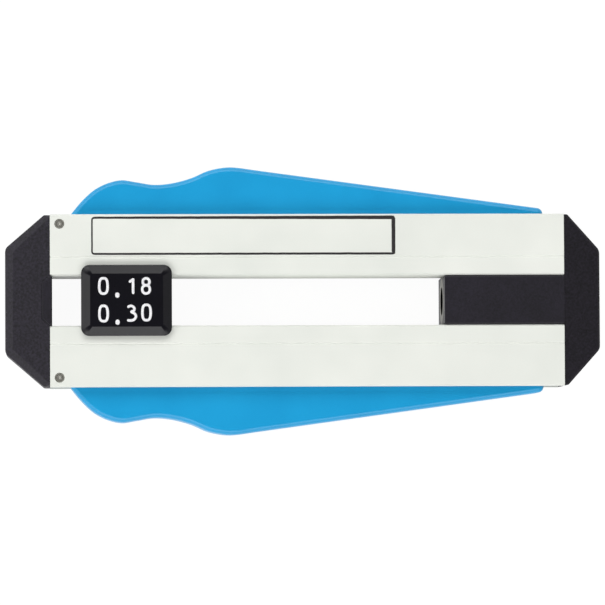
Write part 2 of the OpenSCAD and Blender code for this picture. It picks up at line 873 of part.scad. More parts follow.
// Leaf springs: strips bowed towards the rails, their ends on the floor of their pockets
module friction_springs() {
    bow_r = (pow(leaf_length / 2, 2) + pow(leaf_bow, 2)) / (2 * leaf_bow);
    middle = (neck_x0 + neck_x1) / 2;
    color(steel_grey) both_sides() translate([0, 0, axis_z - leaf_height / 2])
        linear_extrude(leaf_height) intersection() {
            translate([middle, neck_half - bow_r]) difference() {
                circle(r = bow_r, $fn = 128);
                circle(r = bow_r - leaf_thickness, $fn = 128);
            }
            translate([middle - leaf_length / 2, neck_half - leaf_pocket + seat_gap])
                square([leaf_length, far]);
        }
}

rail_upper();
rail_lower();
front_cap();
rear_cap();
guide_insert();
entry_bush();
tail_block();
bore_sleeve();
front_dowels();
rear_dowels();
rear_screws();
pivot_pin_upper();
pivot_pin_lower();
return_spring_upper();
return_spring_lower();
handle_upper();
blade_upper();
blade_clamp_upper();
blade_screws_upper();
handle_lower();
blade_lower();
blade_clamp_lower();
blade_screws_lower();
slider_front();
slider_back();
slider_screws();
friction_springs();
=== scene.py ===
# %% [markdown]
# # A fibre stripper, dressed for the camera
# The tool is a flat frame: two off-white rails, a black cap at each end, two blue squeeze handles in
# the rails' sides and a numbered slider across the window. Its solid model arrives ready made and
# jointed. This notebook gives each piece its real edges, its finish and the small things that solids
# leave out: the printed frame on the rail, the numbers on the slider and the smooth springs.
#
# Loading comes first, because every place and size below is read from the model and not typed in.

import json
import math

import bmesh
import bpy
from mathutils import Matrix, Vector


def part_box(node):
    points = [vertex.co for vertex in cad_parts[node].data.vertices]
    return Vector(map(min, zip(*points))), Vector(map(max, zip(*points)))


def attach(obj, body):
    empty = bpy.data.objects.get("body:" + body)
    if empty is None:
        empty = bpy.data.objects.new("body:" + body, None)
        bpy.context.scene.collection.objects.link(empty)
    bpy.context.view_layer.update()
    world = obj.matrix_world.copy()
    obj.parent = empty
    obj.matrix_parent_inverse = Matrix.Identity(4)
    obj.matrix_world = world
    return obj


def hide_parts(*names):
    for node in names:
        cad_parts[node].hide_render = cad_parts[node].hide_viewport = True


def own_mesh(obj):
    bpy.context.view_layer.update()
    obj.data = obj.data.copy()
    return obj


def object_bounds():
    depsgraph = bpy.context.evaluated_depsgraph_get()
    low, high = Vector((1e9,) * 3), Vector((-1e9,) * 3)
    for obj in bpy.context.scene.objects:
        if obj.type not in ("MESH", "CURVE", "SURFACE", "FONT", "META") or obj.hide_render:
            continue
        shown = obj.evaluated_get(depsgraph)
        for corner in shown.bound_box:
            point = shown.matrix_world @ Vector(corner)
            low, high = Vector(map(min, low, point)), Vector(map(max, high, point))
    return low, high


MM = 0.001

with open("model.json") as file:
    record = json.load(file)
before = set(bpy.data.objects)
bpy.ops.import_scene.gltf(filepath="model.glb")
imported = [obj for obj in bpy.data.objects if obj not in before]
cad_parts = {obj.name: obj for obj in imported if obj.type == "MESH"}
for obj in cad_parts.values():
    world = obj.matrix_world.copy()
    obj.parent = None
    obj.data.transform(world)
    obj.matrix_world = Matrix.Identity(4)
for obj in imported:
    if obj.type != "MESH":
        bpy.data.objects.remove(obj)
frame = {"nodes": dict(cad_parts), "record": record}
solid_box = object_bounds()
body_of = {
    node: body for body, members in frame["record"]["behaviour"]["bodies"].items() for node in members
}
print("solid box, mm:", [[round(v / MM, 2) for v in corner] for corner in solid_box])

# %% [markdown]
# ## Colours and shader nodes
# Paint charts and screens give colours as sRGB hex values, while a shader wants linear light, so one
# function converts every colour in the notebook. A second one adds a shader node, sets what it has to
# and links what comes in. Writing each material with the same small tool keeps them easy to compare.

# %% Helpers for colours and nodes
def linear(hex_colour, alpha=1.0):
    """An sRGB hex colour as the linear RGBA that a shader reads."""
    channels = [int(hex_colour[i:i + 2], 16) / 255 for i in (1, 3, 5)]
    return [c / 12.92 if c <= 0.04045 else ((c + 0.055) / 1.055) ** 2.4 for c in channels] + [alpha]


def add_node(tree, kind, inputs=None, **settings):
    """Adds a node, sets its properties, and fills its inputs with values or links."""
    node = tree.nodes.new(kind)
    for name, value in settings.items():
        setattr(node, name, value)
    for name, value in (inputs or {}).items():
        if isinstance(value, bpy.types.NodeSocket):
            tree.links.new(value, node.inputs[name])
        else:
            node.inputs[name].default_value = value
    return node


def per_mm(size):
    """Texture scale on Object coordinates, in metres, for features of this size in millimetres."""
    return 1 / (size * MM)


print("linear grey of #808080:", round(linear("#808080")[0], 3))

# %% [markdown]
# ## One recipe for moulded plastic
# Every plastic piece comes out of a steel mould, and three things tell the eye which mould it was: the
# colour, how rough the steel was left, and how coarse its texture is. Spark erosion leaves a field of
# tiny craters, polishing leaves almost nothing. So one recipe takes those values: a broad drift in the
# colour, as plastic never mixes quite evenly, a fine grain in colour and height, and a gloss.
#
# The grain is a Noise texture on Object coordinates, so it keeps its size in millimetres on every
# piece. A real grain of a few hundredths of a millimetre vanishes at this distance, so it is drawn
# several times as coarse as it is.

# %% The moulded plastics
NOISE_LOW, NOISE_HIGH = 0.3, 0.7  # nearly all of a Noise texture's values lie between these
PLASTIC_GLOSS_SPREAD, METAL_GLOSS_SPREAD = 0.06, 0.08  # how far the roughness wanders to either side


def moulded(name, dark, light, grain, bump, roughness, drift=12.0, speckle=0.5, ior=1.5):
    """Moulded plastic: two close colours, a grain size in mm and how deep the grain looks."""
    material = bpy.data.materials.new(name)
    material.use_nodes = True
    tree = material.node_tree
    shader = tree.nodes["Principled BSDF"]
    place = add_node(tree, "ShaderNodeTexCoord").outputs["Object"]
    cloud = add_node(tree, "ShaderNodeTexNoise", {
        "Vector": place, "Scale": per_mm(drift), "Detail": 2.0, "Roughness": 0.5})
    fine = add_node(tree, "ShaderNodeTexNoise", {
        "Vector": place, "Scale": per_mm(grain), "Detail": 3.0, "Roughness": 0.6})
    blend = add_node(tree, "ShaderNodeMix", {
        "Factor": speckle, "A": cloud.outputs["Fac"], "B": fine.outputs["Fac"]}, data_type="FLOAT")
    spread = add_node(tree, "ShaderNodeMapRange", {
        "Value": blend.outputs["Result"], "From Min": NOISE_LOW, "From Max": NOISE_HIGH})
    colour = add_node(tree, "ShaderNodeMix", {
        "Factor": spread.outputs["Result"]}, data_type="RGBA")
    colour.inputs["A"].default_value = linear(dark)
    colour.inputs["B"].default_value = linear(light)
    tree.links.new(colour.outputs["Result"], shader.inputs["Base Color"])
    gloss = add_node(tree, "ShaderNodeMapRange", {
        "Value": fine.outputs["Fac"], "To Min": roughness - PLASTIC_GLOSS_SPREAD,
        "To Max": roughness + PLASTIC_GLOSS_SPREAD})
    tree.links.new(gloss.outputs["Result"], shader.inputs["Roughness"])
    relief = add_node(tree, "ShaderNodeBump", {
        "Height": fine.outputs["Fac"], "Strength": bump, "Distance": grain * MM / 3})
    tree.links.new(relief.outputs["Normal"], shader.inputs["Normal"])
    shader.inputs["IOR"].default_value = ior
    return material


# Rails: moulded ABS in off-white, from a mould with a matt polish. A calm, clean surface: soft sheen,
# a hardly visible grain and a trace of green in the white.
satin_white = moulded("satin_white_abs", "#e2e5de", "#eceee7", 0.16, 0.08, 0.5, speckle=0.25)

# Handles: moulded polypropylene in mid blue. Waxy gloss, so the round edges draw a soft light line.
waxy_blue = moulded(
    "waxy_blue_polypropylene", "#0b97d0", "#14a1da", 0.22, 0.1, 0.36, drift=9, speckle=0.3)

# End caps: glass-filled nylon from a spark-eroded mould. The craters catch specks of light in the bump,
# and the lighter specks in the colour are painted glints of them, so the black looks charcoal and dusty
# rather than shiny.
eroded_black = moulded(
    "spark_eroded_black_nylon", "#070509", "#2b2733", 0.4, 0.8, 0.58, drift=5, speckle=0.85, ior=1.42)

# Rear cap: the same nylon with a slightly finer grain. Its darker colour is painted shade, for the weaker
# light towards the rear end.
rear_cap_shaded_black = moulded(
    "eroded_black_nylon_painted_shade", "#040306", "#1e1a24", 0.36, 0.7, 0.6, drift=5, speckle=0.85, ior=1.33)

# Tail block and exit guide: the same nylon from a finer, bead-blasted mould.
blasted_black = moulded(
    "blasted_black_nylon", "#0a080e", "#211d29", 0.3, 0.4, 0.5, drift=6, speckle=0.7, ior=1.44)

# Slider: polished mould, so a deep blue-black face and bevels that shine evenly.
polished_black = moulded(
    "polished_black_acetal", "#08070d", "#0d0c14", 0.3, 0.04, 0.3, drift=4, speckle=0.3, ior=1.4)
plastics = [satin_white, waxy_blue, eroded_black, rear_cap_shaded_black, blasted_black, polished_black]
print("plastics:", [material.name for material in plastics])

# %% [markdown]
# ## Metals that a tool has marked
# Metal pins, screws and sleeves are turned on a lathe, and the cutter leaves a fine spiral of rings
# round the axis. Blades are ground, wire is drawn through a die: both leave straight scratches. So one
# recipe makes a metal with marks that run one way. Rings come from the distance to the nearest axis,
# which is the same for mirrored pins when the coordinate across the tool has its sign removed.

# %% The metals
def worked(
        name, dark, light, pitch, roughness, stretch=(1, 1, 1), axis=None, along="Z", depth=0.3,
        shade_inside=0.0):
    """Metal with tool marks: straight ones that stretch one way, or rings round an axis in metres.

    Where a radius in mm is given, the metal within that distance of the axis is painted black, as painted
    shade for a deep hole.
    """
    material = bpy.data.materials.new(name)
    material.use_nodes = True
    tree = material.node_tree
    shader = tree.nodes["Principled BSDF"]
    place = add_node(tree, "ShaderNodeTexCoord").outputs["Object"]
    if axis is not None:
        mirrored = add_node(tree, "ShaderNodeVectorMath", {0: place}, operation="ABSOLUTE")
        centred = add_node(tree, "ShaderNodeVectorMath", {
            0: mirrored.outputs["Vector"], 1: [abs(v) for v in axis]}, operation="SUBTRACT")
        keep = {"X": (0, 1, 1), "Z": (1, 1, 0)}[along]
        flat = add_node(tree, "ShaderNodeVectorMath", {
            0: centred.outputs["Vector"], 1: keep}, operation="MULTIPLY")
        reach = add_node(tree, "ShaderNodeVectorMath", {0: flat.outputs["Vector"]}, operation="LENGTH")
        source = add_node(tree, "ShaderNodeCombineXYZ", {"X": reach.outputs["Value"]}).outputs["Vector"]
    else:
        source = add_node(tree, "ShaderNodeMapping", {"Vector": place, "Scale": stretch}).outputs["Vector"]
    marks = add_node(tree, "ShaderNodeTexNoise", {
        "Vector": source, "Scale": per_mm(pitch), "Detail": 3.0, "Roughness": 0.6})
    tone = add_node(tree, "ShaderNodeMapRange", {
        "Value": marks.outputs["Fac"], "From Min": NOISE_LOW, "From Max": NOISE_HIGH})
    colour = add_node(tree, "ShaderNodeMix", {"Factor": tone.outputs["Result"]}, data_type="RGBA")
    colour.inputs["A"].default_value = linear(dark)
    colour.inputs["B"].default_value = linear(light)
    tree.links.new(colour.outputs["Result"], shader.inputs["Base Color"])
    shader.inputs["Metallic"].default_value = 1.0
    # Painted shade: within the given radius the colour turns black and the metal dull, for the shade in a
    # deep hole.
    if shade_inside:
        outside = add_node(tree, "ShaderNodeMath", {
            0: reach.outputs["Value"], 1: shade_inside * MM}, operation="GREATER_THAN")
        shaded_colour = add_node(tree, "ShaderNodeVectorMath", {
            0: colour.outputs["Result"], "Scale": outside.outputs["Value"]}, operation="SCALE")
        tree.links.new(shaded_colour.outputs["Vector"], shader.inputs["Base Color"])
        tree.links.new(outside.outputs["Value"], shader.inputs["Metallic"])
    gloss = add_node(tree, "ShaderNodeMapRange", {
        "Value": marks.outputs["Fac"], "To Min": roughness - METAL_GLOSS_SPREAD,
        "To Max": roughness + METAL_GLOSS_SPREAD})
    tree.links.new(gloss.outputs["Result"], shader.inputs["Roughness"])
    relief = add_node(tree, "ShaderNodeBump", {
        "Height": marks.outputs["Fac"], "Strength": depth, "Distance": pitch * MM / 2})
    tree.links.new(relief.outputs["Normal"], shader.inputs["Normal"])
    return material


PAIR_SPREAD = 10  # mm; a small part that reaches further than this across the tool is a pair


def middle(node):
    """Centre of a solid piece, or of its upper half where the piece comes in mirrored pairs."""
    low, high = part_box(node)
    centre = (low + high) / 2
    if low.y < 0 < high.y and high.y - low.y > PAIR_SPREAD * MM:
        centre.y = high.y - (high.x - low.x) / 2
    return centre


# Dowels: turned steel, dulled by its phosphate coat. Rings round each pin and no mirror shine.
turned_steel = worked(
    "turned_phosphated_steel", "#8d8c85", "#b9b8b0", 0.12, 0.5, axis=middle("front_dowels"))

# Pins and screws out of sight lines: plain bright turned steel.
plain_steel = worked("bright_turned_steel", "#9c9b96", "#c4c3bd", 0.1, 0.35, (1, 1, 0.1))

# Springs: music wire, drawn through a die. Dark grey with a thin bright line along each coil.
music_wire = worked("drawn_music_wire", "#77766f", "#a5a49c", 0.1, 0.3, (1, 0.3, 1))

# Blades: hardened steel, ground across. Bright, with straight scratches.
ground_steel = worked("ground_hardened_steel", "#a9aaac", "#d2d3d4", 0.06, 0.28, (1, 0.08, 1))

# Mouth ring: turned aluminium with a dull grey anodised skin, which mutes every reflection.
anodised_grey = worked("dull_anodised_aluminium", "#7c7b76", "#94938d", 0.12, 0.55,
                       axis=(0, 0, middle("bore_sleeve").z), along="X")

# Sleeve behind the ring: the same metal, painted black within 4 mm of its axis as painted shade, so the
# eye sees a dark hole.
sleeve_with_painted_shade = worked("sleeve_painted_bore_shade", "#8b8a84", "#a3a29b", 0.12, 0.55,
                      axis=(0, 0, middle("bore_sleeve").z), along="X", shade_inside=4.0)

# Entry bush: free-cutting brass straight off the lathe.
turned_brass = worked("turned_brass", "#a98d4b", "#cdb06a", 0.1, 0.32,
                      axis=(0, 0, middle("entry_bush").z), along="X")
metals = [turned_steel, plain_steel, music_wire, ground_steel, anodised_grey, sleeve_with_painted_shade, turned_brass]
print("metals:", [material.name for material in metals])

# %% [markdown]
# ## Paint and ink
# The slider's numbers are lines of white paint, and the frame on the rail is pad printed in black.
# Both lie on plastic and both are a little uneven: paint thickens and thins along its line, ink lies in a
# film with ragged density. A noise in the colour says that. In the white paint its greyer patches are
# partly painted shade, for the shade inside the engraved groove.

# %% Paint and ink
# The greyer patches of the white paint are partly painted shade, the shade inside an engraved groove.
paint_white = moulded(
    "white_engraving_paint", "#dcdbe0", "#fbfbfb", 0.25, 0.3, 0.6, drift=0.8, speckle=0.5)
print_black = moulded(
    "black_pad_printing_ink", "#171416", "#2c282a", 0.22, 0.2, 0.55, drift=1.5, speckle=0.7)
print("paint and ink:", paint_white.name, print_black.name)

# %% [markdown]
# ## From solid to moulding
# The solids have mathematically sharp edges, and nothing real has. An edge with a radius of a tenth
# of a millimetre already catches a line of light, and that line is what makes a render look made.
#
# The solid's own mesh is a soup of loose triangles, so a copy is joined, its flat faces are merged,
# and a Bevel modifier rounds every edge sharper than a set angle. A Weighted Normal modifier then keeps
# the flat faces flat in the shading. The solid stays where it is and is hidden behind its copy.

# %% Copies with real edges
JOIN_DISTANCE = 0.0005  # mm; corners of the solid's triangles that lie closer are one corner
FLAT_ANGLE = 0.4  # degrees; faces that turn less than this are one flat face
SHARP_MARGIN = 8  # degrees above the bevel's angle at which the shading breaks
FACE_WEIGHT = 60  # how strongly a large face pulls the shading flat, where 50 is even


def add_piece(name, mesh, materials, body, nodes=()):
    """Puts a finished mesh in the scene, riding on its body in place of the named solids."""
    piece = bpy.data.objects.new(name, mesh)
    bpy.context.scene.collection.objects.link(piece)
    mesh.materials.clear()
    for material in materials:
        mesh.materials.append(material)
    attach(piece, body)
    if nodes:
        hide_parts(*nodes)
    return piece


def joined_copy(node):
    """The solid's mesh with its triangles joined and its flat faces merged."""
    mesh = frame["nodes"][node].data.copy()
    mesh.materials.clear()
    for stale in ("custom_normal", "sharp_face", "sharp_edge"):
        if stale in mesh.attributes:
            mesh.attributes.remove(mesh.attributes[stale])
    shape = bmesh.new()
    shape.from_mesh(mesh)
    bmesh.ops.remove_doubles(shape, verts=shape.verts, dist=JOIN_DISTANCE * MM)
    bmesh.ops.dissolve_limit(
        shape, angle_limit=math.radians(FLAT_ANGLE), verts=shape.verts, edges=shape.edges)
    for face in shape.faces:
        face.material_index = 0
        face.smooth = True
    shape.to_mesh(mesh)
    shape.free()
    return mesh


def soften(piece, radius, angle=30, segments=3):
    """Rounds the edges that are sharper than the angle, and keeps flat faces flat in the shading."""
    if radius:
        bevel = piece.modifiers.new("edge radius", "BEVEL")
        bevel.width = radius * MM
        bevel.segments = segments
        bevel.limit_method = "ANGLE"
        bevel.angle_limit = math.radians(angle)
        bevel.use_clamp_overlap = True
        bevel.miter_outer = "MITER_ARC"
    piece.data.set_sharp_from_angle(angle=math.radians(angle + SHARP_MARGIN))
    weights = piece.modifiers.new("flat faces stay flat", "WEIGHTED_NORMAL")
    weights.keep_sharp = not radius
    weights.weight = FACE_WEIGHT


# Each solid: the name of its piece, its material and its edge radius in mm. The handles' edges are
# already round in the solid.
mouldings = {
    "rail_upper": ("upper_rail", satin_white, 0.12),
    "rail_lower": ("lower_rail", satin_white, 0.12),
    "front_cap": ("nose_cap", eroded_black, 0.3),
    "rear_cap": ("end_cap", rear_cap_shaded_black, 0.14),
    "guide_insert": ("exit_guide", blasted_black, 0.1),
    "tail_block": ("bored_block", blasted_black, 0.08),
    "slider_front": ("slider_plate", polished_black, 0.12),
    "slider_back": ("slider_keeper", polished_black, 0.08),
    "handle_upper": ("upper_grip_handle", waxy_blue, 0),
    "handle_lower": ("lower_grip_handle", waxy_blue, 0),
}
for node, (name, material, radius) in mouldings.items():
    piece = add_piece(name, joined_copy(node), [material], body_of[node], [node])
    soften(piece, radius)
    print(name, "faces:", len(piece.data.polygons), "radius, mm:", radius)

# %% [markdown]
# ## Metal pieces keep their solids
# Pins, screws, blades and the sleeve are already turned or ground in the solid model, chamfers and
# slots included. They need no copy: giving the solid's object a better material is enough.

# %% Finish the metal solids
metal_finish = {
    "front_dowels": turned_steel,
    "rear_dowels": plain_steel,
    "rear_screws": plain_steel,
    "pivot_pin_upper": plain_steel,
    "pivot_pin_lower": plain_steel,
    "slider_screws": plain_steel,
    "blade_upper": ground_steel,
    "blade_lower": ground_steel,
    "blade_clamp_upper": plain_steel,
    "blade_clamp_lower": plain_steel,
    "blade_screws_upper": plain_steel,
    "blade_screws_lower": plain_steel,
    "friction_springs": music_wire,
    "bore_sleeve": sleeve_with_painted_shade,
    "entry_bush": turned_brass,
}
for node, material in metal_finish.items():
    solid = frame["nodes"][node]
    solid.data.materials.clear()
    solid.data.materials.append(material)
print("metal solids dressed:", len(metal_finish))

# %% [markdown]
# ## The ring at the mouth of the bore
# The bored block's end face is seen almost edge on. A grey ring lies round the dark hole in it, and the
# ring is nearly flat. The solid's sleeve has a dished mouth there, and from so steep an angle the dish
# hides the hole behind it. So a thin flat ring is laid over the dish as a trim, a hair proud of the
# block's end face, and the sleeve within it is painted black, as painted shade for the dark hole.
#
# A ring is the simplest turned shape: a four-cornered section is carried round the axis in even steps,
# and neighbouring sections are joined by four faces.

# %% Turn the ring
# Radii outside and inside, and how far the ring reaches into the block and out of it, all in mm
RING_OUT, RING_IN, RING_BACK, RING_PROUD, RING_STEPS = 3.85, 2.4, 0.03, 0.02, 64
block_low, block_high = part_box("tail_block")
ring_z = (block_low.z + block_high.z) / 2
section = [
    (RING_OUT, RING_BACK), (RING_OUT, -RING_PROUD), (RING_IN, -RING_PROUD), (RING_IN, RING_BACK)]
corner_count = len(section)
points, faces = [], []
for i in range(RING_STEPS):
    turn = 2 * math.pi * i / RING_STEPS
    for radius, depth in section:
        points.append((
            block_low.x + depth * MM, radius * MM * math.cos(turn), ring_z + radius * MM * math.sin(turn)))
    here, there = corner_count * i, corner_count * ((i + 1) % RING_STEPS)
    for k in range(corner_count):
        following = (k + 1) % corner_count
        faces.append((here + k, here + following, there + following, there + k))
ring_mesh = bpy.data.meshes.new("mouth_ring")
ring_mesh.from_pydata(points, [], faces)
shape = bmesh.new()
shape.from_mesh(ring_mesh)
bmesh.ops.recalc_face_normals(shape, faces=shape.faces)
shape.to_mesh(ring_mesh)
shape.free()
add_piece("mouth_ring", ring_mesh, [anodised_grey], body_of["bore_sleeve"])
print("mouth ring faces:", len(ring_mesh.polygons))

# %% [markdown]
# ## Strokes that follow a path
# A number filled with paint and a printed line are the same thing to a maker: a tool of some width
# that follows a path. Geometry Nodes say exactly that. The tree takes a curve, gives it an even number
# of points, lets each point wander by a hair, and sweeps an oval profile along it. The ends of an open
# path are round, as a cutter's are: near an end the profile shrinks along a quarter circle.

# %% The stroke tree
def new_tree(name, sizes):
    """An empty Geometry Nodes tree with named inputs; returns the tree and its two end nodes."""
    tree = bpy.data.node_groups.new(name, "GeometryNodeTree")
    tree.interface.new_socket("Geometry", in_out="INPUT", socket_type="NodeSocketGeometry")
    for label, kind in sizes:
        tree.interface.new_socket(label, in_out="INPUT", socket_type=kind)
    tree.interface.new_socket("Geometry", in_out="OUTPUT", socket_type="NodeSocketGeometry")
    return tree, add_node(tree, "NodeGroupInput"), add_node(tree, "NodeGroupOutput")


def run_tree(tree, piece, values):
    """Runs the tree on an object and returns the result as a plain mesh; the object is removed."""
    modifier = piece.modifiers.new(tree.name, "NODES")
    modifier.node_group = tree
    for item in tree.interface.items_tree:
        if item.in_out == "INPUT" and item.name in values:
            modifier[item.identifier] = values[item.name]
    graph = bpy.context.evaluated_depsgraph_get()
    mesh = bpy.data.meshes.new_from_object(piece.evaluated_get(graph), depsgraph=graph)
    bpy.data.objects.remove(piece)
    return mesh


LENGTH, COUNT, MATERIAL = "NodeSocketFloat", "NodeSocketInt", "NodeSocketMaterial"
WANDER_SIZE = 1.6  # mm; how long the waves are in which a line wanders
TIP = 0.98  # share of an end's quarter circle that is drawn; at 1 the last section would be a point
stroke, given, result = new_tree("swept stroke", [
    ("Width", LENGTH), ("Depth", LENGTH), ("Spacing", LENGTH), ("Waver", LENGTH), ("Sides", COUNT),
    ("Seed", LENGTH), ("Material", MATERIAL)])
even = add_node(stroke, "GeometryNodeResampleCurve", {
    "Curve": given.outputs["Geometry"], "Length": given.outputs["Spacing"]}, mode="LENGTH")
spot = add_node(stroke, "GeometryNodeInputPosition")
wander = add_node(stroke, "ShaderNodeTexNoise", {
    "Vector": spot.outputs["Position"], "W": given.outputs["Seed"], "Scale": per_mm(WANDER_SIZE)},
    noise_dimensions="4D")
centred = add_node(stroke, "ShaderNodeVectorMath", {
    0: wander.outputs["Color"], 1: (0.5, 0.5, 0.5)}, operation="SUBTRACT")
level = add_node(stroke, "ShaderNodeVectorMath", {
    0: centred.outputs["Vector"], 1: (1, 1, 0)}, operation="MULTIPLY")
drift = add_node(stroke, "ShaderNodeVectorMath", {
    0: level.outputs["Vector"], "Scale": given.outputs["Waver"]}, operation="SCALE")
moved = add_node(stroke, "GeometryNodeSetPosition", {
    "Geometry": even.outputs["Curve"], "Offset": drift.outputs["Vector"]})
ring = add_node(stroke, "GeometryNodeCurvePrimitiveCircle", {
    "Resolution": given.outputs["Sides"], "Radius": 0.5}, mode="RADIUS")
oval = add_node(stroke, "ShaderNodeCombineXYZ", {
    "X": given.outputs["Width"], "Y": given.outputs["Depth"], "Z": 1.0})
profile = add_node(stroke, "GeometryNodeTransform", {
    "Geometry": ring.outputs["Curve"], "Scale": oval.outputs["Vector"]})
upright = add_node(stroke, "GeometryNodeSetCurveNormal", {"Curve": moved.outputs["Geometry"]}, mode="Z_UP")
done = add_node(stroke, "GeometryNodeSplineParameter")
total = add_node(stroke, "GeometryNodeSplineLength")
left = add_node(stroke, "ShaderNodeMath", {
    0: total.outputs["Length"], 1: done.outputs["Length"]}, operation="SUBTRACT")
nearest = add_node(stroke, "ShaderNodeMath", {
    0: left.outputs["Value"], 1: done.outputs["Length"]}, operation="MINIMUM")
half = add_node(stroke, "ShaderNodeMath", {0: given.outputs["Width"], 1: 0.5}, operation="MULTIPLY")
to_end = add_node(stroke, "ShaderNodeMapRange", {
    "Value": nearest.outputs["Value"], "From Max": half.outputs["Value"], "To Min": TIP, "To Max": 0.0})
square = add_node(stroke, "ShaderNodeMath", {0: to_end.outputs["Result"], 1: 2.0}, operation="POWER")
rest = add_node(stroke, "ShaderNodeMath", {0: 1.0, 1: square.outputs["Value"]}, operation="SUBTRACT")
round_end = add_node(stroke, "ShaderNodeMath", {0: rest.outputs["Value"]}, operation="SQRT")
closed = add_node(stroke, "GeometryNodeInputSplineCyclic")
taper = add_node(stroke, "ShaderNodeMath", {
    0: round_end.outputs["Value"], 1: closed.outputs["Cyclic"]}, operation="MAXIMUM")
pen = add_node(stroke, "GeometryNodeInputRadius")
pressed = add_node(stroke, "ShaderNodeMath", {
    0: pen.outputs["Radius"], 1: taper.outputs["Value"]}, operation="MULTIPLY")
swept = add_node(stroke, "GeometryNodeCurveToMesh", {
    "Curve": upright.outputs["Curve"], "Profile Curve": profile.outputs["Geometry"],
    "Scale": pressed.outputs["Value"], "Fill Caps": True})
real = add_node(stroke, "GeometryNodeRealizeInstances", {"Geometry": swept.outputs["Mesh"]})
dressed = add_node(stroke, "GeometryNodeSetMaterial", {
    "Geometry": real.outputs["Geometry"], "Material": given.outputs["Material"]})
stroke.links.new(dressed.outputs["Geometry"], result.inputs["Geometry"])
print("stroke tree:", len(stroke.nodes), "nodes")

# %% [markdown]
# ## The numbers on the slider
# The two rows, 0.18 and 0.30, are the diameters in millimetres that the tool works with. They are
# single-line figures, as an engraving machine cuts them: each is a path for the middle of the cutter.
# The groove is wiped full of white paint that stands a hair above the plate, so each path becomes a
# low oval bead, sunk halfway into the plate.

# %% Figures as cutter paths
FIGURE_WIDTH, FIGURE_HEIGHT, CUTTER_WIDTH, DOT_WIDTH, BEAD_DEPTH = 1.38, 2.58, 0.44, 0.72, 0.08
DOT_REACH = 0.44  # mm from the middle of a dot to either end of the cutter's short move


def loop(centre, half_width, half_height, squareness=0.8, points=28):
    """Closed path like an ellipse with fuller corners."""
    path = []
    for i in range(points):
        turn = 2 * math.pi * i / points
        c, s = math.cos(turn), math.sin(turn)
        path.append((
            centre[0] + half_width * math.copysign(abs(c) ** squareness, c),
            centre[1] + half_height * math.copysign(abs(s) ** squareness, s)))
    return path, True


def zero(x, y):
    return [loop((x, y), FIGURE_WIDTH / 2, FIGURE_HEIGHT / 2, 0.72)]


def dot(x, y):
    return [([(x, y - DOT_REACH), (x, y + DOT_REACH)], False)]


def rounded(points, steps=6):
    """Smooth open path through the points."""
    path = []
    for i in range(len(points) - 1):
        a, b = points[max(i - 1, 0)], points[i]
        c, d = points[i + 1], points[min(i + 2, len(points) - 1)]
        for k in range(steps):
            t = k / steps
            path.append(tuple(0.5 * (
                2 * b[j] + (c[j] - a[j]) * t + (2 * a[j] - 5 * b[j] + 4 * c[j] - d[j]) * t ** 2
                + (3 * b[j] - a[j] - 3 * c[j] + d[j]) * t ** 3) for j in (0, 1)))
    return path + [points[-1]], False


# Places are in millimetres from the middle of the plate.
upper_row = zero(-3.87, 2.38) + [
    ([(0.4, 2.98), (1.09, 3.5), (1.09, 1.02)], False),
    loop((3.26, 3.05), 0.55, 0.58, 0.9), loop((3.26, 1.78), 0.64, 0.68, 0.9)]
lower_row = zero(-3.85, -2.25) + zero(3.32, -2.09) + [rounded([
    (0.12, -1.24), (0.7, -0.96), (1.25, -1.3), (1.2, -1.76), (0.78, -1.97), (1.36, -2.27), (1.54, -2.8),
    (1.22, -3.28), (0.64, -3.43), (0.06, -3.38)])]
dots = dot(-1.54, 0.84) + dot(-1.52, -3.7)


def path_object(name, paths, centre, pen=None):
    """Curve object with one straight-line spline for each path, at the height of the centre."""
    curve = bpy.data.curves.new(name, "CURVE")
    curve.dimensions = "3D"
    for number, (path, closed) in enumerate(paths):
        spline = curve.splines.new("POLY")
        spline.points.add(len(path) - 1)
        for i, (x, y) in enumerate(path):
            spline.points[i].co = (centre.x + x * MM, centre.y + y * MM, centre.z, 1)
            spline.points[i].radius = pen[i] if pen else 1.0
        spline.use_cyclic_u = closed
    piece = bpy.data.objects.new(name, curve)
    bpy.context.scene.collection.objects.link(piece)
    return piece


low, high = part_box("slider_front")
plate_top = Vector(((low.x + high.x) / 2, (low.y + high.y) / 2, high.z))
print("paths:", len(upper_row + lower_row + dots))
print("middle of the plate, mm:", [round(v / MM, 2) for v in plate_top])

# %% Fill the figures with paint
PAINT_STEP, PAINT_WAVER, PAINT_SIDES, PAINT_SEED = 0.08, 0.09, 12, 3.0
for name, paths, width in (
        ("painted_figures", upper_row + lower_row, CUTTER_WIDTH), ("painted_dots", dots, DOT_WIDTH)):
    paint = run_tree(stroke, path_object(name + "_path", paths, plate_top), {
        "Width": width * MM, "Depth": BEAD_DEPTH * MM, "Spacing": PAINT_STEP * MM,
        "Waver": PAINT_WAVER * MM, "Sides": PAINT_SIDES, "Seed": PAINT_SEED, "Material": paint_white})
    add_piece(name, paint, [paint_white], body_of["slider_front"])
    print(name, "faces:", len(paint.polygons))

# %% [markdown]
# ## The printed frame on the upper rail
# A long box is pad printed on the upper rail, as a field for a name, and it is left empty here. Its
# line isn't even: thin at the left and the bottom, and heavier towards the right end. The same stroke
# tree draws it with a flat profile: the pen's width is given at each corner, and the waver makes its
# edges as soft as a rubber pad does.

# %% Print the frame
LINE, INK = 0.27, 0.02
INK_STEP, INK_WAVER, INK_SIDES, INK_SEED = 0.25, 0.08, 8, 7.0
rail_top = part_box("rail_upper")[1].z
box_left, box_right, box_low, box_high = -35.45, 15.2, 7.82, 13.9
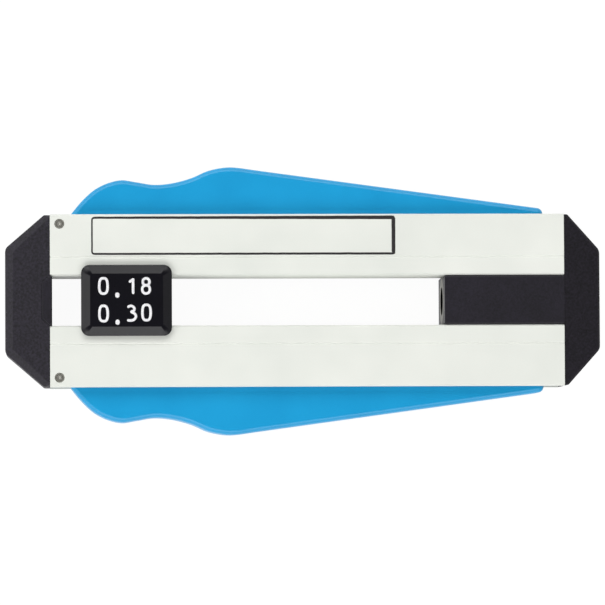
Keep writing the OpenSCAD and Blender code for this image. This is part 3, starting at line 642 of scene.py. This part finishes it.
# Each corner: its place, its radius, and the weight of the line that runs into it and out of it
corners = [
    (box_left, box_low, 0.35, 1.0, 1.25), (box_right, box_low, 0.12, 1.4, 2.3),
    (box_right, box_high, 0.12, 2.4, 2.3), (box_left, box_high, 0.35, 1.3, 1.0)]
CORNER_STEPS = 4
path, pen = [], []
for i, (x, y, radius, weight_in, weight_out) in enumerate(corners):
    side_x = 1 if x == box_left else -1
    side_y = 1 if y == box_low else -1
    for k in range(CORNER_STEPS + 1):
        share = k / CORNER_STEPS
        turn = math.pi + (i + share) * math.pi / 2
        path.append((
            x + side_x * radius + radius * math.cos(turn), y + side_y * radius + radius * math.sin(turn)))
        pen.append(weight_in + (weight_out - weight_in) * share)
frame_line = path_object("frame_path", [(path, True)], Vector((0, 0, rail_top + INK / 2 * MM)), pen)
ink = run_tree(stroke, frame_line, {
    "Width": LINE * MM, "Depth": INK * MM, "Spacing": INK_STEP * MM, "Waver": INK_WAVER * MM,
    "Sides": INK_SIDES, "Seed": INK_SEED, "Material": print_black})
add_piece("printed_frame", ink, [print_black], body_of["rail_upper"])
print("printed frame faces:", len(ink.polygons))

# %% [markdown]
# ## Return springs
# A compression spring is one wire on a helix: closed turns at both ends, so that it stands square, and
# an even pitch between. In Geometry Nodes it is a line of points whose height and turn follow from
# each point's number, swept with a round wire. The solid's wire has six sides, and this one is round.

# %% The spring tree
WIRE_SIDES = 12
coil, given, result = new_tree("compression spring", [
    ("Coil radius", LENGTH), ("Wire", LENGTH), ("Height", LENGTH), ("Turns", LENGTH),
    ("Closed turns", LENGTH), ("Steps per turn", COUNT), ("Material", MATERIAL)])


sizes = given.outputs
line_steps = add_node(coil, "ShaderNodeMath", {
    0: sizes["Turns"], 1: sizes["Steps per turn"], 2: 1.0}, operation="MULTIPLY_ADD")
line = add_node(coil, "GeometryNodeMeshLine", {"Count": line_steps.outputs["Value"]})
number = add_node(coil, "GeometryNodeInputIndex")
turned = add_node(coil, "ShaderNodeMath", {
    0: number.outputs["Index"], 1: sizes["Steps per turn"]}, operation="DIVIDE").outputs["Value"]
# The wire climbs its own thickness in each closed turn, and shares the rest among the open ones.
head = add_node(coil, "ShaderNodeMath", {
    0: sizes["Turns"], 1: sizes["Closed turns"]}, operation="SUBTRACT").outputs["Value"]
foot_rise = add_node(coil, "ShaderNodeMath", {
    0: sizes["Closed turns"], 1: sizes["Wire"]}, operation="MULTIPLY").outputs["Value"]
ends = add_node(coil, "ShaderNodeMath", {
    0: foot_rise, 1: 2.0, 2: sizes["Wire"]}, operation="MULTIPLY_ADD").outputs["Value"]
open_rise = add_node(coil, "ShaderNodeMath", {
    0: sizes["Height"], 1: ends}, operation="SUBTRACT").outputs["Value"]
foot_part = add_node(coil, "ShaderNodeMapRange", {
    "Value": turned, "From Max": sizes["Closed turns"], "To Max": foot_rise})
open_part = add_node(coil, "ShaderNodeMapRange", {
    "Value": turned, "From Min": sizes["Closed turns"], "From Max": head, "To Max": open_rise})
head_part = add_node(coil, "ShaderNodeMapRange", {
    "Value": turned, "From Min": head, "From Max": sizes["Turns"], "To Max": foot_rise})
lower_rise = add_node(coil, "ShaderNodeMath", {
    0: foot_part.outputs["Result"], 1: open_part.outputs["Result"]}, operation="ADD")
climb = add_node(coil, "ShaderNodeMath", {
    0: lower_rise.outputs["Value"], 1: head_part.outputs["Result"]}, operation="ADD")
rise = add_node(coil, "ShaderNodeMath", {
    0: sizes["Wire"], 1: 0.5, 2: climb.outputs["Value"]}, operation="MULTIPLY_ADD")
turn_angle = add_node(coil, "ShaderNodeMath", {0: turned, 1: 2 * math.pi}, operation="MULTIPLY")
round_x = add_node(coil, "ShaderNodeMath", {0: turn_angle.outputs["Value"]}, operation="COSINE")
round_y = add_node(coil, "ShaderNodeMath", {0: turn_angle.outputs["Value"]}, operation="SINE")
circle = add_node(coil, "ShaderNodeCombineXYZ", {
    "X": round_x.outputs["Value"], "Y": round_y.outputs["Value"]})
round_part = add_node(coil, "ShaderNodeVectorMath", {
    0: circle.outputs["Vector"], "Scale": sizes["Coil radius"]}, operation="SCALE")
lift = add_node(coil, "ShaderNodeCombineXYZ", {"Z": rise.outputs["Value"]})
place = add_node(coil, "ShaderNodeVectorMath", {
    0: round_part.outputs["Vector"], 1: lift.outputs["Vector"]}, operation="ADD")
bent = add_node(coil, "GeometryNodeSetPosition", {
    "Geometry": line.outputs["Mesh"], "Position": place.outputs["Vector"]})
wire_path = add_node(coil, "GeometryNodeMeshToCurve", {"Mesh": bent.outputs["Geometry"]})
wire_r = add_node(coil, "ShaderNodeMath", {0: sizes["Wire"], 1: 0.5}, operation="MULTIPLY")
wire_ring = add_node(coil, "GeometryNodeCurvePrimitiveCircle", {
    "Resolution": WIRE_SIDES, "Radius": wire_r.outputs["Value"]}, mode="RADIUS")
wound = add_node(coil, "GeometryNodeCurveToMesh", {
    "Curve": wire_path.outputs["Curve"], "Profile Curve": wire_ring.outputs["Curve"], "Fill Caps": True})
smooth = add_node(coil, "GeometryNodeSetShadeSmooth", {"Geometry": wound.outputs["Mesh"]})
real = add_node(coil, "GeometryNodeRealizeInstances", {"Geometry": smooth.outputs["Geometry"]})
dressed = add_node(coil, "GeometryNodeSetMaterial", {
    "Geometry": real.outputs["Geometry"], "Material": sizes["Material"]})
coil.links.new(dressed.outputs["Geometry"], result.inputs["Geometry"])
print("spring tree:", len(coil.nodes), "nodes")

# %% Wind both springs
WIRE, TURNS, CLOSED_TURNS, STEPS_PER_TURN = 0.55, 6.0, 0.8, 32
for side, joint in ((1, "upper_squeeze"), (-1, "lower_squeeze")):
    node = "return_spring_upper" if side > 0 else "return_spring_lower"
    low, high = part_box(node)
    height = high.y - low.y
    foot = low.y if side > 0 else high.y
    seed = bpy.data.objects.new("spring_seed", bpy.data.meshes.new("spring_seed"))
    bpy.context.scene.collection.objects.link(seed)
    mesh = run_tree(coil, seed, {
        "Coil radius": (high.z - low.z) / 2 - WIRE / 2 * MM, "Wire": WIRE * MM, "Height": height,
        "Turns": TURNS, "Closed turns": CLOSED_TURNS, "Steps per turn": STEPS_PER_TURN,
        "Material": music_wire})
    turn = Matrix.Rotation(math.radians(-90 * side), 4, "X")
    mesh.transform(Matrix.Translation(((low.x + high.x) / 2, foot, (low.z + high.z) / 2)) @ turn)
    spring = add_piece(f"{joint}_spring", mesh, [music_wire], body_of[node], [node])
    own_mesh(spring)

# %% [markdown]
# ## Light and floor
# A flat tool with black and white parts is lit from the sides and not from above: two long soft boxes
# stand across from each other, low enough for the bevels and round edges to mirror them, while the
# flat black faces mirror the dark middle of the tent and stay black. A weaker box stands at the nose
# end, so the light fades gently along the tool.
#
# The floor is a plain board. To a direct look and in mirrors it glows nearly white, as a light table
# does, with a little real paper under the glow for a trace of the object's soft shadow. To all other
# light it is white paper that throws the light back.

# %% Floor, lamps and tent
# Each box: its place and size in metres, and its strength
LONG_BOX_PLACE, LONG_BOX_SIZE, LONG_BOX_STRENGTH = (-0.05, 0.42, 0.38), (0.7, 0.34), 2.4
NOSE_BOX_PLACE, NOSE_BOX_SIZE, NOSE_BOX_STRENGTH = (-0.5, 0, 0.36), (0.3, 0.3), 1.3
TABLE_CENTRE = (0, 0, 0)
FLOOR_GLOW, FLOOR_PAPER = 0.95, 0.1  # shares of white in the glow and in the paper under it
FLOOR_REACH, FLOOR_GAP = 3.0, 0.05  # metres from the middle to an edge, and mm below the tool
# The height of a look is 0 when level and 1 straight up. The tent is bright below the first height here
# and dark above the second, and between them it fades.
TENT_BRIGHT_TO, TENT_DARK_FROM, TENT_BRIGHT, TENT_DARK = 0.45, 0.9, 0.8, 0.1
TENT_FADE = -0.3  # the tent's change in brightness towards the rear end


def soft_box(name, place, target, size, strength):
    """Rectangular lamp that aims at a point; strength is its radiance, where 1 is paper white."""
    lamp = bpy.data.lights.new(name, "AREA")
    lamp.shape = "RECTANGLE"
    lamp.size, lamp.size_y = size
    lamp.energy = strength * math.pi * size[0] * size[1]
    holder = bpy.data.objects.new(name, lamp)
    bpy.context.scene.collection.objects.link(holder)
    holder.location = place
    holder.rotation_euler = (Vector(target) - Vector(place)).to_track_quat("-Z", "Y").to_euler()
    holder.visible_camera = False
    return holder


x, y, z = LONG_BOX_PLACE
soft_box("long_box_above", (x, y, z), TABLE_CENTRE, LONG_BOX_SIZE, LONG_BOX_STRENGTH)
soft_box("long_box_below", (x, -y, z), TABLE_CENTRE, LONG_BOX_SIZE, LONG_BOX_STRENGTH)
soft_box("nose_box", NOSE_BOX_PLACE, TABLE_CENTRE, NOSE_BOX_SIZE, NOSE_BOX_STRENGTH)

board = bpy.data.materials.new("white_light_table")
board.use_nodes = True
tree = board.node_tree
tree.nodes.clear()
rays = add_node(tree, "ShaderNodeLightPath").outputs
mirrored = add_node(tree, "ShaderNodeMath", {
    0: rays["Is Glossy Ray"], 1: rays["Is Transmission Ray"]}, operation="MAXIMUM")
seen = add_node(tree, "ShaderNodeMath", {
    0: rays["Is Camera Ray"], 1: mirrored.outputs["Value"]}, operation="MAXIMUM").outputs["Value"]
paper = add_node(tree, "ShaderNodeBsdfDiffuse", {"Color": linear("#f2f2f2")})
paper_seen = add_node(tree, "ShaderNodeBsdfDiffuse", {"Color": [FLOOR_PAPER] * 3 + [1]})
glow = add_node(tree, "ShaderNodeEmission", {"Color": (1, 1, 1, 1), "Strength": FLOOR_GLOW})
both = add_node(tree, "ShaderNodeAddShader", {0: paper_seen.outputs["BSDF"], 1: glow.outputs["Emission"]})
chosen = add_node(tree, "ShaderNodeMixShader", {
    0: seen, 1: paper.outputs["BSDF"], 2: both.outputs["Shader"]})
add_node(tree, "ShaderNodeOutputMaterial", {"Surface": chosen.outputs["Shader"]})
floor_mesh = bpy.data.meshes.new("floor")
floor_corners = [(x * FLOOR_REACH, y * FLOOR_REACH, 0) for x, y in ((-1, -1), (1, -1), (1, 1), (-1, 1))]
floor_mesh.from_pydata(floor_corners, [], [(0, 1, 2, 3)])
floor_mesh.materials.append(board)
floor = bpy.data.objects.new("floor", floor_mesh)
bpy.context.scene.collection.objects.link(floor)
floor.location.z = solid_box[0][2] - FLOOR_GAP * MM

tent = bpy.data.worlds.new("tent")
bpy.context.scene.world = tent
tent.use_nodes = True
tree = tent.node_tree
tree.nodes.clear()
look = add_node(tree, "ShaderNodeTexCoord").outputs["Generated"]
parts = add_node(tree, "ShaderNodeSeparateXYZ", {0: look}).outputs
height = add_node(tree, "ShaderNodeMapRange", {
    "Value": parts["Z"], "From Min": TENT_BRIGHT_TO, "From Max": TENT_DARK_FROM,
    "To Min": TENT_BRIGHT, "To Max": TENT_DARK}, interpolation_type="SMOOTHSTEP").outputs["Result"]
fade = add_node(tree, "ShaderNodeMath", {0: parts["X"], 1: TENT_FADE, 2: 1.0}, operation="MULTIPLY_ADD")
bright = add_node(tree, "ShaderNodeMath", {0: height, 1: fade.outputs["Value"]}, operation="MULTIPLY")
wall = add_node(tree, "ShaderNodeBackground", {
    "Color": (1, 1, 1, 1), "Strength": bright.outputs["Value"]})
add_node(tree, "ShaderNodeOutputWorld", {"Surface": wall.outputs["Background"]})

# %% [markdown]
# ## Camera
# The tool is seen from almost straight above. The camera stands a little over the nose end and the
# lower rail's side, which shows slivers of the upper rail's inner wall and of the bored block's mouth.
# It stands far off behind a long lens, so the rails look parallel, and it is rolled by a hair.

# %% Camera
CAMERA_PLACE, CAMERA_TARGET = Vector((-41.2, -34.9, 777.5)) * MM, Vector((-0.17, -0.41, 12.5)) * MM
VIEW_WIDTH, ROLL = 101.565 * MM, 0.0049  # width of the view at the target, and the roll in radians
SENSOR_WIDTH = 36  # mm
NEAR, FAR = 0.01, 20  # metres
camera = bpy.data.cameras.new("camera")
camera.sensor_width = SENSOR_WIDTH
camera.lens = SENSOR_WIDTH * (CAMERA_PLACE - CAMERA_TARGET).length / VIEW_WIDTH
camera.clip_start, camera.clip_end = NEAR, FAR
holder = bpy.data.objects.new("camera", camera)
bpy.context.scene.collection.objects.link(holder)
holder.location = CAMERA_PLACE
back = (CAMERA_PLACE - CAMERA_TARGET).normalized()
level_side = Vector((0, 1, 0)).cross(back).normalized()
side = Matrix.Rotation(-ROLL, 3, back) @ level_side
up = back.cross(side)
holder.rotation_euler = Matrix((side, up, back)).transposed().to_euler()
bpy.context.scene.camera = holder
bpy.context.scene.view_settings.view_transform = "Standard"
print("lens, mm:", round(camera.lens, 1))
